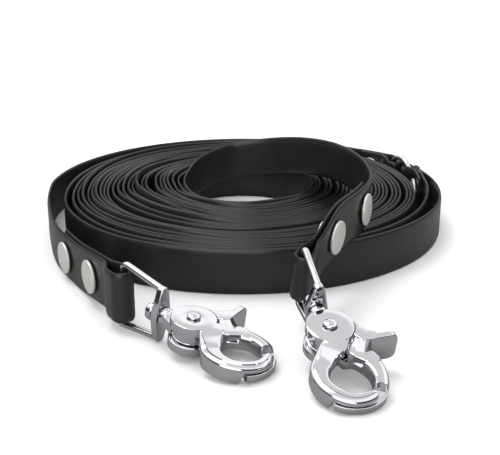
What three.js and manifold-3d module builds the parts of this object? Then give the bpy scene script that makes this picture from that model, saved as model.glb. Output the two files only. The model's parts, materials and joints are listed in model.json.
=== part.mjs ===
// Training leash: flat coated webbing wound on edge into a flat round coil, lying on the plane z = 0.
// A hand strap and a long strap are joined by an O-ring, and each ends in a swivel snap hook.
// Millimetres, +Z up. The straps are laid out about the coil's centre, and the finished group is
// shifted so that its origin is the bottom centre of its bounding box.
import * as THREE from 'three';
import { mergeVertices } from 'three/addons/utils/BufferGeometryUtils.js';
import Module from 'manifold-3d';

const wasm = await Module();
wasm.setup();

// Straps
const STRAP_WIDTH = 19;
const STRAP_THICKNESS = 1.9;
const FIT_GAP = 0.3;
const LAYER_OFFSET = (STRAP_THICKNESS + FIT_GAP) / 2;
const FLOOR_Z = STRAP_WIDTH / 2;
const STATION_STEP = 13;
const TURN_STEP = 10;

// Coil: the ring that stands for the inner turns
const COIL_INNER_RADIUS = 39.2;
const COIL_OUTER_RADIUS = 77.4;

// Rivets
const CAP_RADIUS = 6.5;
const CAP_THICKNESS = 1.1;
const BACK_CAP_RADIUS = 5.5;
const BACK_CAP_THICKNESS = 1.4;
const POST_RADIUS = 2;
const POST_HOLE_RADIUS = 2.35;
const CAP_GAP = 0.6;
const HOOK_RIVET_DISTANCES = [26.8, 56.5];
const HOOK_TAIL_LENGTH = 64;

// O-ring
const RING_WIRE_RADIUS = 1.3;
const RING_RADIUS = 11;
const RING_TURN_ANGLE = 519.5;
const RING_COIL_RADIUS = 87.8;
const RING_FOLD_REACH = 7;
const RING_RIVET_DISTANCE = 17.6;
const RING_TAIL_LENGTH = 25;
const WAIST_HALF_WIDTH = 7.8;

// Snap hook, along its own axis from the loop's bar
const LOOP_WIRE_RADIUS = 1.35;
const LOOP_BAR_HALF = 11.7;
const LOOP_BASE_HALF = 9.3;
const LOOP_LENGTH = 18.6;
const BASE_THICKNESS = 2.8;
const BASE_HALF_WIDTH = 3.9;
const BASE_END_RADIUS = 1.9;
const STUD_BORE_RADIUS = 2.75;
const STUD_RADIUS = 2.4;
const PIVOT_DISTANCE = 32.9;
const DISC_RADIUS = 7.8;
const DISC_TOP = 5.4;
const DISC_UNDERSIDE = 2.05;
const TONGUE_HALF_THICKNESS = 1.7;
const TONGUE_RADIUS = 6.6;
const PIN_RADIUS = 1.7;
const PIN_BORE_RADIUS = 2.05;
const BOW_HALF_THICKNESS = 2.6;
const HALF_LAP_GAP = 0.15;
const SPRING_WIRE_RADIUS = 0.35;
const SPRING_RADIUS = 3.1;
const SPRING_POCKET_RADIUS = 4.1;

const HAND_HOOK = { x: -42.4, y: -127.1, z: 14, yaw: -36.5, pitch: 9.8 };
const LONG_HOOK = { x: 20.9, y: -126.3, z: 20.3, yaw: -77, pitch: 16 };

const FINISH = {
  webbing: { color: 0x17181a, roughness: 0.55, metalness: 0 },
  cap: { color: 0xb9b8b3, roughness: 0.32, metalness: 1 },
  chrome: { color: 0xd6d8da, roughness: 0.12, metalness: 1 },
  spring: { color: 0x8d8f92, roughness: 0.4, metalness: 1 },
};

const radians = THREE.MathUtils.degToRad;
const smooth = THREE.MathUtils.smoothstep;
const Z = new THREE.Vector3(0, 0, 1);

// ---------------------------------------------------------------- solids and meshes

function solidOf(geometry) {
  const plain = geometry.clone();
  plain.deleteAttribute('normal');
  plain.deleteAttribute('uv');
  const merged = mergeVertices(plain, 1e-4);
  const mesh = new wasm.Mesh({
    numProp: 3,
    vertProperties: new Float32Array(merged.attributes.position.array),
    triVerts: new Uint32Array(merged.index.array),
  });
  return new wasm.Manifold(mesh);
}

function geometryOf(solid) {
  const mesh = solid.getMesh();
  const geometry = new THREE.BufferGeometry();
  geometry.setAttribute('position', new THREE.BufferAttribute(new Float32Array(mesh.vertProperties), 3));
  geometry.setIndex(new THREE.BufferAttribute(new Uint32Array(mesh.triVerts), 1));
  return geometry;
}

function join(...geometries) {
  return geometries.map(solidOf).reduce((whole, next) => whole.add(next));
}

function cut(solid, ...geometries) {
  return geometries.map(solidOf).reduce((whole, next) => whole.subtract(next), solid);
}

function named(name, geometry, finish) {
  const mesh = new THREE.Mesh(geometry, new THREE.MeshStandardMaterial(FINISH[finish]));
  mesh.name = name;
  return mesh;
}

function cylinder(radius, low, high, sides = 32) {
  const geometry = new THREE.CylinderGeometry(radius, radius, high - low, sides);
  geometry.rotateX(Math.PI / 2);
  geometry.translate(0, 0, (low + high) / 2);
  return geometry;
}

function lathe(profile, sides) {
  const geometry = new THREE.LatheGeometry(profile.map(([r, h]) => new THREE.Vector2(r, h)), sides);
  geometry.rotateX(Math.PI / 2);
  return geometry;
}

function plate(shape, low, high) {
  const geometry = new THREE.ExtrudeGeometry(shape, { depth: high - low, bevelEnabled: false, curveSegments: 10 });
  geometry.translate(0, 0, low);
  return geometry;
}

// ---------------------------------------------------------------- sweeps

// A path through its own points, where the section's height follows the up direction of each point.
class SweepPath extends THREE.Curve {
  constructor(stations) {
    super();
    this.stations = stations;
  }

  getSpacedPoints() {
    return this.stations.map((station) => station.point);
  }

  computeFrenetFrames() {
    const frames = { tangents: [], normals: [], binormals: [] };
    this.stations.forEach((station, i) => {
      const before = this.stations[Math.max(i - 1, 0)].point;
      const after = this.stations[Math.min(i + 1, this.stations.length - 1)].point;
      const tangent = after.clone().sub(before).normalize();
      const normal = station.up.clone().cross(tangent).normalize();
      frames.tangents.push(tangent);
      frames.normals.push(normal);
      frames.binormals.push(tangent.clone().cross(normal));
    });
    return frames;
  }
}

function sweep(shape, stations) {
  return new THREE.ExtrudeGeometry(shape, {
    steps: stations.length - 1,
    extrudePath: new SweepPath(stations),
    curveSegments: 3,
  });
}

function wireSection(radius, sides) {
  const corners = [];
  for (let i = 0; i < sides; i++) {
    const angle = (2 * Math.PI * i) / sides;
    corners.push(new THREE.Vector2(radius * Math.cos(angle), radius * Math.sin(angle)));
  }
  return new THREE.Shape(corners);
}

function strapSection() {
  const t = STRAP_THICKNESS / 2;
  const w = STRAP_WIDTH / 2;
  const corners = [[-t, -w], [t, -w], [t, w], [-t, w]];
  return new THREE.Shape(corners.map(([x, y]) => new THREE.Vector2(x, y)));
}

// ---------------------------------------------------------------- strap routes

// A point of the coil: turn angle in degrees, clockwise from the coil's left side.
function coilPoint(angle, radius, z) {
  return new THREE.Vector3(-radius * Math.cos(radians(angle)), radius * Math.sin(radians(angle)), z);
}

// Coil points between the knots, each of which is a turn angle, a radius and a height.
function coilRoute(knots, from, to) {
  const angles = knots.map((knot) => knot[0]);
  const values = knots.flatMap((knot) => [knot[1], knot[2]]);
  const course = new THREE.CubicInterpolant(angles, values, 2);
  const count = Math.ceil((to - from) / TURN_STEP);
  const points = [];
  for (let i = 0; i <= count; i++) {
    const angle = from + ((to - from) * i) / count;
    const [radius, z] = course.evaluate(angle);
    points.push(coilPoint(angle, radius, Math.max(z, FLOOR_Z)));
  }
  return points;
}

function hookAxes(hook) {
  const turn = new THREE.Euler(0, radians(hook.pitch), radians(hook.yaw), 'ZYX');
  return {
    centre: new THREE.Vector3(hook.x, hook.y, hook.z),
    bar: Z.clone().applyEuler(turn),
    turn,
  };
}

// Distances along a route, close together where a fold's layers part.
function stationDistances(length, foldAtStart, foldAtEnd) {
  const near = [0, 2, 4, 6, 8, 10, 12, 15, 20];
  const start = foldAtStart ? near : [0];
  const end = foldAtEnd ? near.map((d) => length - d).reverse() : [length];
  const from = start[start.length - 1];
  const to = end[0];
  const count = Math.ceil((to - from) / STATION_STEP);
  const middle = [];
  for (let i = 1; i < count; i++) {
    middle.push(from + ((to - from) * i) / count);
  }
  return [...start, ...middle, ...end];
}

// How far a layer stands off the joint line at a distance from the fold's centre.
function layerOffset(fold, distance) {
  const closed = smooth(distance, fold.pocket, fold.pocket + 5);
  return THREE.MathUtils.lerp(fold.radius, LAYER_OFFSET, closed);
}

function foldUp(fold, distance) {
  return fold.up.clone().lerp(Z, smooth(distance, 8, 40)).normalize();
}

// One strap: points is the joint line, and a fold at an end turns back on the coil's side.
function strapRun(points, startFold, endFold) {
  const curve = new THREE.CatmullRomCurve3(points, false, 'centripetal');
  curve.arcLengthDivisions = 1200;
  const length = curve.getLength();
  const frameAt = (distance) => {
    const u = THREE.MathUtils.clamp(distance / length, 0, 1);
    const point = curve.getPointAt(u);
    point.z = Math.max(point.z, FLOOR_Z);
    const tangent = curve.getTangentAt(u);
    let up = Z.clone();
    if (startFold) up = foldUp(startFold, distance);
    if (endFold && length - distance < distance) up = foldUp(endFold, length - distance);
    const side = up.clone().cross(tangent).normalize();
    return { point, tangent, up, side };
  };
  const shifted = (distance, offset) => {
    const frame = frameAt(distance);
    return { point: frame.point.addScaledVector(frame.side, offset), up: frame.up };
  };
  const mainOffset = (distance) => {
    let offset = 0;
    const ends = [[startFold, distance], [endFold, length - distance]];
    for (const [fold, reach] of ends) {
      if (fold) offset += layerOffset(fold, reach) * (1 - smooth(reach, fold.tail + 5, fold.tail + 35));
    }
    return offset;
  };
  const arc = (fold, distance, forward) => {
    const frame = frameAt(distance);
    const ahead = frame.side.clone().cross(frame.up).multiplyScalar(forward);
    return [1, 2, 3, 4, 5, 6, 7].map((step) => {
      const angle = (Math.PI * step) / 8;
      const point = frame.point.clone();
      point.addScaledVector(frame.side, Math.cos(angle) * fold.radius);
      point.addScaledVector(ahead, Math.sin(angle) * fold.radius);
      return { point, up: frame.up };
    });
  };
  const distances = stationDistances(length, startFold, endFold);
  const main = distances.map((d) => shifted(d, mainOffset(d)));
  const tailOf = (fold, where) => {
    const reaches = stationDistances(fold.tail, true, false);
    return reaches.map((reach) => shifted(where(reach), -layerOffset(fold, reach)));
  };
  const stations = [...main];
  if (startFold) {
    const tail = tailOf(startFold, (reach) => reach).reverse();
    stations.unshift(...tail, ...arc(startFold, 0, -1).reverse());
  }
  if (endFold) {
    const tail = tailOf(endFold, (reach) => length - reach);
    stations.push(...arc(endFold, length, 1), ...tail);
  }
  return { stations, frameAt, length };
}

// ---------------------------------------------------------------- rivets

const CAP_LOW = LAYER_OFFSET + STRAP_THICKNESS / 2 + CAP_GAP;

// The front cap and its post, about local Z with the cap outwards.
function capGeometry() {
  const top = CAP_LOW + CAP_THICKNESS;
  return lathe([
    [0, -CAP_LOW - 0.5],
    [POST_RADIUS, -CAP_LOW - 0.5],
    [POST_RADIUS, CAP_LOW],
    [CAP_RADIUS, CAP_LOW],
    [CAP_RADIUS, top - 0.4],
    [CAP_RADIUS - 0.7, top - 0.1],
    [0, top],
  ], 24);
}

// The back cap, with a blind socket that takes the post's end.
function backCapGeometry() {
  const socket = CAP_LOW + 0.8;
  const outside = CAP_LOW + BACK_CAP_THICKNESS;
  return lathe([
    [0, -outside],
    [BACK_CAP_RADIUS - 0.6, -outside + 0.1],
    [BACK_CAP_RADIUS, -outside + 0.6],
    [BACK_CAP_RADIUS, -CAP_LOW],
    [POST_HOLE_RADIUS, -CAP_LOW],
    [POST_HOLE_RADIUS, -socket],
    [0, -socket],
  ], 20);
}

// Places a rivet on a strap's joint line. outwards is 1 for a cap on the strap's outer side.
function rivet(name, run, distance, outwards) {
  const frame = run.frameAt(distance);
  const axis = frame.side.clone().multiplyScalar(outwards);
  const across = frame.up.clone().cross(axis).normalize();
  const matrix = new THREE.Matrix4().makeBasis(across, axis.clone().cross(across), axis);
  const group = new THREE.Group();
  group.applyMatrix4(matrix);
  group.position.copy(frame.point);
  group.add(named(`${name}_cap`, capGeometry(), 'cap'));
  group.add(named(`${name}_back`, backCapGeometry(), 'cap'));
  const hole = cylinder(POST_HOLE_RADIUS, -4, 4, 16);
  group.updateMatrixWorld(true);
  hole.applyMatrix4(group.matrixWorld);
  return { group, hole };
}

// ---------------------------------------------------------------- O-ring

const RING_CENTRE_Z = RING_RADIUS + RING_WIRE_RADIUS + 0.1;
const ringCentre = coilPoint(RING_TURN_ANGLE, RING_COIL_RADIUS, RING_CENTRE_Z);
const ringAxis = coilPoint(RING_TURN_ANGLE, 1, 0);

function placeAtRing(object) {
  const along = ringAxis.clone().cross(Z);
  const matrix = new THREE.Matrix4().makeBasis(along, Z, along.clone().cross(Z));
  matrix.setPosition(ringCentre);
  object.applyMatrix4(matrix);
  return object;
}

function oRing() {
  const geometry = new THREE.TorusGeometry(RING_RADIUS, RING_WIRE_RADIUS, 10, 36);
  return placeAtRing(named('o_ring', geometry, 'chrome'));
}

// Cuts a strap narrower where it passes through the ring, above or below by sign.
function waistCutter(sign) {
  const shape = new THREE.Shape();
  shape.moveTo(-8.5, sign * WAIST_HALF_WIDTH);
  shape.lineTo(8.5, sign * WAIST_HALF_WIDTH);
  shape.lineTo(12.5, sign * (STRAP_WIDTH / 2 + 2));
  shape.lineTo(-12.5, sign * (STRAP_WIDTH / 2 + 2));
  const geometry = new THREE.ExtrudeGeometry(shape, { depth: 14, bevelEnabled: false });
  geometry.translate(0, 0, -7);
  const holder = placeAtRing(new THREE.Group());
  holder.updateMatrixWorld(true);
  geometry.applyMatrix4(holder.matrixWorld);
  return geometry;
}

// ---------------------------------------------------------------- snap hook pieces

// All hook pieces are in the hook's own frame: +X away from the strap, +Z up through the jaws.
function loopGeometry() {
  const points = [[LOOP_LENGTH, LOOP_BASE_HALF]];
  const bend = 2.2;
  for (const sign of [1, -1]) {
    for (let step = 0; step <= 5; step++) {
      const angle = sign > 0 ? radians(96 + step * 16.8) : radians(180 + step * 16.8);
      const x = bend + bend * Math.cos(angle);
      const z = sign * (LOOP_BAR_HALF - bend) + bend * Math.sin(angle);
      points.push([x, z]);
    }
  }
  points.push([LOOP_LENGTH, -LOOP_BASE_HALF]);
  const up = new THREE.Vector3(0, 1, 0);
  const stations = points.map(([x, z]) => ({ point: new THREE.Vector3(x, 0, z), up }));
  const wire = sweep(wireSection(LOOP_WIRE_RADIUS, 10), stations);
  // The base is widest round its bore and narrows towards the wire at each end.
  const end = LOOP_BASE_HALF + LOOP_WIRE_RADIUS - BASE_END_RADIUS;
  const lean = Math.asin((BASE_HALF_WIDTH - BASE_END_RADIUS) / end);
  const outline = new THREE.Shape();
  outline.absarc(end, 0, BASE_END_RADIUS, lean - Math.PI / 2, Math.PI / 2 - lean, false);
  outline.absarc(0, 0, BASE_HALF_WIDTH, Math.PI / 2 - lean, Math.PI / 2 + lean, false);
  outline.absarc(-end, 0, BASE_END_RADIUS, Math.PI / 2 + lean, (3 * Math.PI) / 2 - lean, false);
  outline.absarc(0, 0, BASE_HALF_WIDTH, (3 * Math.PI) / 2 - lean, (3 * Math.PI) / 2 + lean, false);
  const base = plate(outline, -BASE_THICKNESS / 2, BASE_THICKNESS / 2);
  base.rotateY(-Math.PI / 2);
  base.translate(LOOP_LENGTH, 0, 0);
  const bore = cylinder(STUD_BORE_RADIUS, -3, 3, 24);
  bore.rotateY(Math.PI / 2);
  bore.translate(LOOP_LENGTH, 0, 0);
  return geometryOf(cut(join(wire, base), bore));
}

const BASE_INSIDE = LOOP_LENGTH - BASE_THICKNESS / 2;
const BASE_OUTSIDE = LOOP_LENGTH + BASE_THICKNESS / 2;

function studGeometry() {
  const turned = lathe([
    [0, BASE_INSIDE - 3.6],
    [2.6, BASE_INSIDE - 3.5],
    [3.6, BASE_INSIDE - 2.6],
    [3.6, BASE_INSIDE - 0.4],
    [STUD_RADIUS, BASE_INSIDE - 0.4],
    [STUD_RADIUS, BASE_OUTSIDE + 0.4],
    [3.2, BASE_OUTSIDE + 0.4],
    [3.2, BASE_OUTSIDE + 3],
    [2.2, BASE_OUTSIDE + 4],
    [0, BASE_OUTSIDE + 4],
  ], 20);
  turned.rotateX(-Math.PI / 2);
  turned.rotateZ(-Math.PI / 2);
  const tongue = new THREE.Shape();
  tongue.moveTo(BASE_OUTSIDE + 1, -2.6);
  tongue.lineTo(PIVOT_DISTANCE - 5, -TONGUE_RADIUS + 1.6);
  tongue.absarc(PIVOT_DISTANCE, 0, TONGUE_RADIUS, radians(225), radians(495), false);
  tongue.lineTo(BASE_OUTSIDE + 1, 2.6);
  const body = join(turned, plate(tongue, -TONGUE_HALF_THICKNESS, TONGUE_HALF_THICKNESS));
  const bore = cylinder(PIN_BORE_RADIUS, -3, 3, 20);
  const pocket = cylinder(SPRING_POCKET_RADIUS, -3, 0.9, 24);
  bore.translate(PIVOT_DISTANCE, 0, 0);
  pocket.translate(PIVOT_DISTANCE, 0, 0);
  return geometryOf(cut(body, bore, pocket));
}

// A band of varying width along a smooth centre line: each point is x, y and the width there.
function bandShape(points, roundEnd) {
  const line = new THREE.CatmullRomCurve3(points.map(([x, y]) => new THREE.Vector3(x, y, 0)));
  const widths = new THREE.CatmullRomCurve3(points.map((point) => new THREE.Vector3(point[2], 0, 0)));
  const count = 3 * (points.length - 1);
  const left = [];
  const right = [];
  for (let i = 0; i <= count; i++) {
    const centre = line.getPoint(i / count);
    const tangent = line.getTangent(i / count);
    const half = widths.getPoint(i / count).x / 2;
    left.push(new THREE.Vector2(centre.x - tangent.y * half, centre.y + tangent.x * half));
    right.push(new THREE.Vector2(centre.x + tangent.y * half, centre.y - tangent.x * half));
  }
  const end = [];
  if (roundEnd) {
    const centre = line.getPoint(1);
    const tangent = line.getTangent(1);
    const half = points[points.length - 1][2] / 2;
    for (const angle of [60, 30, 0, -30, -60]) {
      const along = Math.cos(radians(angle)) * half;
      const aside = Math.sin(radians(angle)) * half;
      end.push(new THREE.Vector2(
        centre.x + tangent.x * along - tangent.y * aside,
        centre.y + tangent.y * along + tangent.x * aside,
      ));
    }
  }
  return new THREE.Shape([...left, ...end, ...right.reverse()]);
}

// Lowers an arm from the pivot disc's level to the bow's level between two distances from the pivot.
function settle(geometry, drop) {
  const position = geometry.attributes.position;
  for (let i = 0; i < position.count; i++) {
    const reach = Math.hypot(position.getX(i), position.getY(i));
    position.setZ(i, position.getZ(i) - drop * smooth(reach, DISC_RADIUS + 0.6, DISC_RADIUS + 6));
  }
  return geometry;
}

const UPPER_WALL_DEPTH = 3.8;
const LEVER_HALF_HEIGHT = 5.1;
const LEVER_END = -20.8;
const ARM_THICKNESS = BOW_HALF_THICKNESS - HALF_LAP_GAP;
const ARM_DROP = DISC_UNDERSIDE - HALF_LAP_GAP;

function pivotDisc() {
  return cylinder(DISC_RADIUS, DISC_UNDERSIDE, DISC_TOP, 36);
}

function finishJaw(solid, turnOver) {
  const geometry = geometryOf(cut(solid, cylinder(PIN_BORE_RADIUS, -9, 9, 24)));
  if (turnOver) geometry.rotateX(Math.PI);
  return geometry;
}

// The upper jaw: disc over the tongue, arm round the hook's right side and across the bow's end.
function upperJawGeometry() {
  const arm = [
    [6.2, 0.2, 7.6], [8, -0.8, 7.4], [11, -4.2, 7.2], [14.4, -7.1, 6.2], [18.5, -8.1, 5.1],
    [22.8, -7.3, 4.5], [26.6, -4.3, 4.3], [28.6, -0.6, 4.2], [28.6, 2.8, 4], [28, 5, 3.6],
  ];
  const wall = [[12.6, -5.9, 6.4], [14.4, -7.1, 6.2], [18.5, -8.1, 5.1], [22.6, -7.4, 4.6], [24.8, -6.1, 4.4]];
  const top = settle(plate(bandShape(arm, true), DISC_UNDERSIDE, DISC_UNDERSIDE + ARM_THICKNESS), ARM_DROP);
  const side = plate(bandShape(wall, false), -UPPER_WALL_DEPTH, 1.5);
  return finishJaw(join(pivotDisc(), top, side), false);
}

// The lever on the lower jaw: a thumb plate on edge, as high as the hook, with its far corners rounded off.
function thumbLever() {
  const outline = new THREE.Shape();
  outline.moveTo(5.6, -6.4);
  outline.lineTo(7.4, -7.8);
  outline.lineTo(8, -9.2);
  outline.lineTo(7.1, -19.6);
  outline.quadraticCurveTo(7, LEVER_END, 5.9, LEVER_END);
  outline.quadraticCurveTo(4.8, LEVER_END, 4.8, -19.6);
  outline.lineTo(4.2, -13.4);
  outline.quadraticCurveTo(3.2, -10.2, -1, -8.4);
  outline.lineTo(0, -5);
  const face = new THREE.Shape();
  face.moveTo(0, -LEVER_HALF_HEIGHT);
  face.lineTo(-LEVER_END - 2.6, -LEVER_HALF_HEIGHT);
  face.quadraticCurveTo(-LEVER_END, -LEVER_HALF_HEIGHT, -LEVER_END, -LEVER_HALF_HEIGHT + 2.6);
  face.lineTo(-LEVER_END, LEVER_HALF_HEIGHT - 2.6);
  face.quadraticCurveTo(-LEVER_END, LEVER_HALF_HEIGHT, -LEVER_END - 2.6, LEVER_HALF_HEIGHT);
  face.lineTo(0, LEVER_HALF_HEIGHT);
  const rounding = plate(face, -4, 12);
  rounding.applyMatrix4(new THREE.Matrix4().set(0, 0, 1, 0, -1, 0, 0, 0, 0, -1, 0, 0, 0, 0, 0, 1));
  return solidOf(plate(outline, -LEVER_HALF_HEIGHT, LEVER_HALF_HEIGHT)).intersect(solidOf(rounding));
}

// The lower jaw, drawn turned over about the hook's axis so that it is built like the upper one.
function lowerJawGeometry() {
  const arm = [
    [4.9, -4.1, 7.2], [8.3, -6.6, 8.6], [12, -8.5, 7.2], [14.9, -9.8, 6.2], [18.9, -10.4, 5.1],
    [23.2, -9.6, 4.6], [26.8, -7.5, 4.5], [28.8, -3.8, 4.3], [29, 0, 4.2], [28.2, 3.2, 4.1], [26.7, 5.7, 4],
  ];
  const wall = [
    [6.4, -6.9, 4.4], [9.2, -8, 5.4], [13, -8.9, 6.8], [14.9, -9.8, 6.2], [18.9, -10.4, 5.1],
    [22.6, -9.9, 4.7], [24.6, -8.9, 4.6],
  ];
  const low = settle(plate(bandShape(arm, false), DISC_UNDERSIDE, DISC_UNDERSIDE + ARM_THICKNESS), ARM_DROP);
  const side = plate(bandShape(wall, false), -BOW_HALF_THICKNESS, DISC_UNDERSIDE + 0.3);
  const shoulder = new THREE.Shape();
  shoulder.moveTo(6.9, -4.7);
  shoulder.lineTo(10.2, -3.1);
  shoulder.lineTo(12.2, -4.6);
  shoulder.lineTo(15.3, -8.1);
  shoulder.lineTo(14.6, -10.5);
  shoulder.lineTo(8, -8.6);
  const web = plate(shoulder, -BOW_HALF_THICKNESS, DISC_UNDERSIDE + 0.3);
  const outer = cut(join(side, web).add(thumbLever()), cylinder(DISC_RADIUS + 0.35, -9, DISC_UNDERSIDE, 36));
  return finishJaw(join(pivotDisc(), low).add(outer), true);
}

function pivotRivetGeometry() {
  const head = DISC_TOP + FIT_GAP;
  return lathe([
    [0, -head - 0.7],
    [2.4, -head - 0.6],
    [2.8, -head],
    [PIN_RADIUS, -head],
    [PIN_RADIUS, head],
    [2.8, head],
    [2.5, head + 0.7],
    [1.5, head + 1.1],
    [0, head + 1.2],
  ], 20);
}

// Two turns of wire round the pivot rivet, in the tongue's pocket.
function springGeometry() {
  const stations = [];
  const perTurn = 16;
  for (let i = 0; i <= 2 * perTurn; i++) {
    const angle = (2 * Math.PI * i) / perTurn;
    const z = -1.32 + (0.85 * i) / perTurn;
    const point = new THREE.Vector3(SPRING_RADIUS * Math.cos(angle), SPRING_RADIUS * Math.sin(angle), z);
    stations.push({ point, up: Z });
  }
  return sweep(wireSection(SPRING_WIRE_RADIUS, 6), stations);
}

function snapHook(name, hook) {
  const { centre, turn } = hookAxes(hook);
  const group = new THREE.Group();
  group.position.copy(centre);
  group.setRotationFromEuler(turn);
  group.add(named(`${name}_loop`, loopGeometry(), 'chrome'));
  group.add(named(`${name}_swivel_stud`, studGeometry(), 'chrome'));
  const pivot = new THREE.Group();
  pivot.position.set(PIVOT_DISTANCE, 0, 0);
  pivot.add(named(`${name}_upper_jaw`, upperJawGeometry(), 'chrome'));
  pivot.add(named(`${name}_lower_jaw`, lowerJawGeometry(), 'chrome'));
  pivot.add(named(`${name}_pivot_rivet`, pivotRivetGeometry(), 'chrome'));
  pivot.add(named(`${name}_jaw_spring`, springGeometry(), 'spring'));
  group.add(pivot);
  return group;
}

// ---------------------------------------------------------------- the two straps

function hookFold(hook, radius, pocket, up) {
  return { up, radius, pocket, tail: HOOK_TAIL_LENGTH };
}

const ringFold = {
  up: Z,
  radius: RING_WIRE_RADIUS + 0.35 + STRAP_THICKNESS / 2,
  pocket: 5.7,
  tail: RING_TAIL_LENGTH,
};

// The fold's centre on one side of the ring: sign is -1 before it and 1 after it along the coil.
function ringFoldCentre(sign, reach) {
  const along = ringAxis.clone().cross(Z);
  return ringCentre.clone().addScaledVector(along, sign * reach);
}

// The hand strap: from its hook, round the coil's outside one and a half times, to the ring.
function handStrapRun() {
  const { centre } = hookAxes(HAND_HOOK);
  const away = new THREE.Vector3(Math.cos(radians(120)), Math.sin(radians(120)), 0);
  const lead = [
    centre.clone().addScaledVector(away, -0.8).setZ(13.5),
    centre.clone().addScaledVector(away, 12).setZ(13),
    centre.clone().addScaledVector(away, 25).setZ(11.6),
    new THREE.Vector3(-64.8, -88, FLOOR_Z),
    new THREE.Vector3(-71.5, -76.5, FLOOR_Z),
    new THREE.Vector3(-77, -66, FLOOR_Z),
    new THREE.Vector3(-82.5, -53, FLOOR_Z),
    new THREE.Vector3(-87.2, -38.5, FLOOR_Z),
    new THREE.Vector3(-91, -22.5, FLOOR_Z),
  ];
  const knots = [
    [-10, 93.5, FLOOR_Z], [0, 94.2, FLOOR_Z], [45, 95.4, FLOOR_Z], [90, 96, FLOOR_Z], [135, 95.4, FLOOR_Z],
    [160, 94.8, FLOOR_Z], [180, 94.3, FLOOR_Z], [225, 95.2, FLOOR_Z], [270, 95.8, FLOOR_Z],
    [300, 94.6, FLOOR_Z], [330, 88.8, FLOOR_Z], [360, 84.9, FLOOR_Z], [405, 87, FLOOR_Z],
    [450, 91.3, FLOOR_Z], [480, 90.8, FLOOR_Z], [500, 88.8, 11.6],
  ];
  const end = [ringFoldCentre(-1, 15), ringFoldCentre(-1, RING_FOLD_REACH)];
  const points = [...lead, ...coilRoute(knots, 0, 500), ...end];
  return strapRun(points, hookFold(HAND_HOOK, 3.5, 4.4, Z), ringFold);
}

// The long strap's outer turns, from the ring to where the ring-shaped coil solid takes over.
function outerRun() {
  const knots = [
    [539, 87.6, 11.6], [560, 88.4, FLOOR_Z], [590, 91, FLOOR_Z], [630, 92.6, FLOOR_Z],
    [660, 90.6, FLOOR_Z], [690, 85, FLOOR_Z], [720, 81.4, FLOOR_Z], [765, 84, FLOOR_Z],
    [810, 88, FLOOR_Z], [845, 83.6, FLOOR_Z], [880, 81.7, FLOOR_Z], [900, 81.6, FLOOR_Z],
    [945, 85.6, FLOOR_Z], [990, 89.4, FLOOR_Z], [1035, 83.4, FLOOR_Z], [1080, 79, FLOOR_Z],
  ];
  const start = [ringFoldCentre(1, RING_FOLD_REACH), ringFoldCentre(1, 15)];
  const points = [...start, ...coilRoute(knots, 539, 1080)];
  return strapRun(points, ringFold, null);
}

// The innermost turn: it climbs the hole's wall, crosses the coil's top and comes down to its hook.
function innerLead() {
  const { centre, bar } = hookAxes(LONG_HOOK);
  const heading = new THREE.Vector3(Math.cos(radians(244)), Math.sin(radians(244)), 0);
  heading.addScaledVector(bar, -heading.dot(bar)).normalize();
  const points = [
    [37.4, -4, FLOOR_Z], [32, -17.5, FLOOR_Z], [17, -29.5, FLOOR_Z], [0, -33, FLOOR_Z],
    [-20, -25.5, 9.8], [-28.4, -8, 11.2], [-28.2, 8, 13], [-21.5, 24.6, 17], [-4.8, 34.5, 21.2],
    [14.6, 29.4, 24.9], [30, 16.6, 28.1], [41.4, 5.2, 28.9], [47.8, -6, 29], [52.2, -20, 29],
    [54.3, -36, 29], [53.6, -52, 29], [50.6, -67, 29.1], [45.4, -81.5, 29.4],
  ].map(([x, y, z]) => new THREE.Vector3(x, y, z));
  points.push(centre.clone().addScaledVector(heading, -32).setZ(28.2));
  points.push(centre.clone().addScaledVector(heading, -16));
  points.push(centre);
  const fold = hookFold(LONG_HOOK, LOOP_WIRE_RADIUS + 0.4 + STRAP_THICKNESS / 2, 2.4, bar);
  return strapRun(points, null, fold);
}

const leash = new THREE.Group();

function addStrap(name, run, rivets, cutters) {
  const holes = rivets.map(([rivetName, distance, outwards]) => {
    const { group, hole } = rivet(rivetName, run, distance, outwards);
    leash.add(group);
    return hole;
  });
  const body = sweep(strapSection(), run.stations);
  leash.add(named(name, geometryOf(cut(solidOf(body), ...holes, ...cutters)), 'webbing'));
}

const waist = [waistCutter(1), waistCutter(-1)];

const hand = handStrapRun();
addStrap('hand_strap', hand, [
  ['hand_hook_rivet_1', HOOK_RIVET_DISTANCES[0], 1],
  ['hand_hook_rivet_2', HOOK_RIVET_DISTANCES[1], 1],
  ['ring_rivet_hand_side', hand.length - RING_RIVET_DISTANCE, -1],
], waist);

const outer = outerRun();
addStrap('long_strap_outer_turns', outer, [
  ['ring_rivet_long_side', RING_RIVET_DISTANCE, -1],
], waist);

const inner = innerLead();
addStrap('long_strap_inner_lead', inner, [
  ['long_hook_rivet_1', inner.length - HOOK_RIVET_DISTANCES[0], 1],
  ['long_hook_rivet_2', inner.length - HOOK_RIVET_DISTANCES[1], 1],
], []);

const coil = lathe([
  [COIL_INNER_RADIUS, 0],
  [COIL_OUTER_RADIUS, 0],
  [COIL_OUTER_RADIUS, STRAP_WIDTH],
  [COIL_INNER_RADIUS, STRAP_WIDTH],
  [COIL_INNER_RADIUS, 0],
], 64);
leash.add(named('long_strap_coil', coil, 'webbing'));
leash.add(oRing());
leash.add(snapHook('hand_hook', HAND_HOOK));
leash.add(snapHook('long_hook', LONG_HOOK));

const box = new THREE.Box3().setFromObject(leash, true);
const middle = box.getCenter(new THREE.Vector3());
leash.position.set(-middle.x, -middle.y, -box.min.z);

export default leash;
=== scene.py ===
import json
import math
import random

import bmesh
import bpy
import numpy as np
from mathutils import Matrix, Vector

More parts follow.
